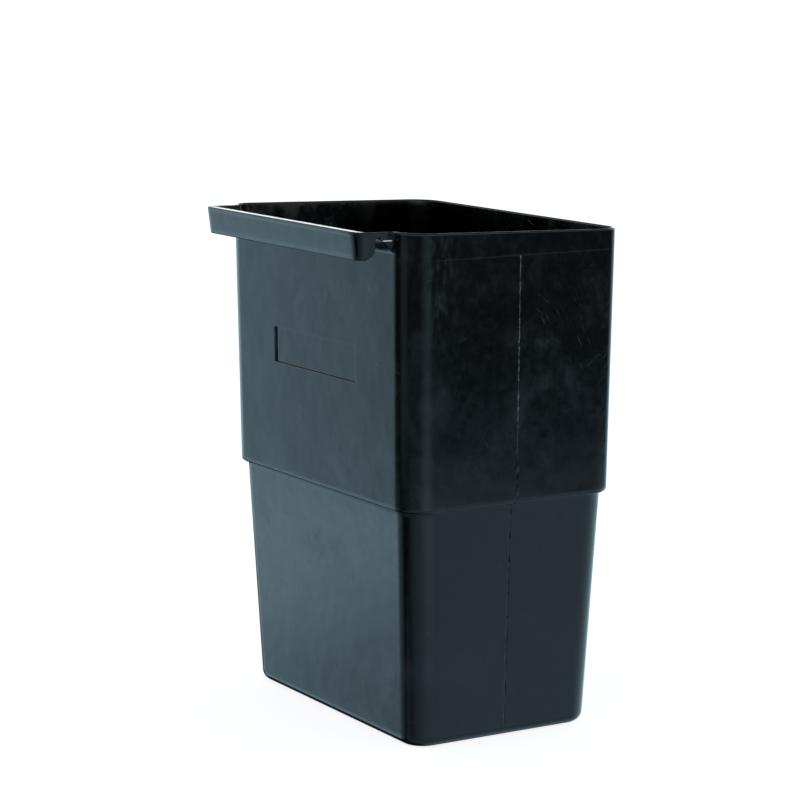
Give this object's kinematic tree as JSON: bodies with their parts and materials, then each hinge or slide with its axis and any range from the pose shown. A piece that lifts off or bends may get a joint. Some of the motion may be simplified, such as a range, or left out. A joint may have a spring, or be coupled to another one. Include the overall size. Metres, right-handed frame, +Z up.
{
  "type": "hanging refuse bin",
  "caption": "Open tapered plastic refuse bin with a stepped wall and a hook lip along one long side, which hangs on a utility cart's end rail.",
  "frame": {"origin": "middle of the flat underside, where the seam's plane and the lip's middle plane meet it", "axes": "+Z up, along the bin's height; +X along the wide side; -Y out of the hook side, towards the cart"},
  "size_m": [0.335, 0.2538, 0.4498],
  "materials": {
    "black_plastic": "black polypropylene, semi-gloss mould finish with light scuffs"
  },
  "bodies": {
    "root": {"bin_body": "black_plastic"}
  },
  "joints": []
}
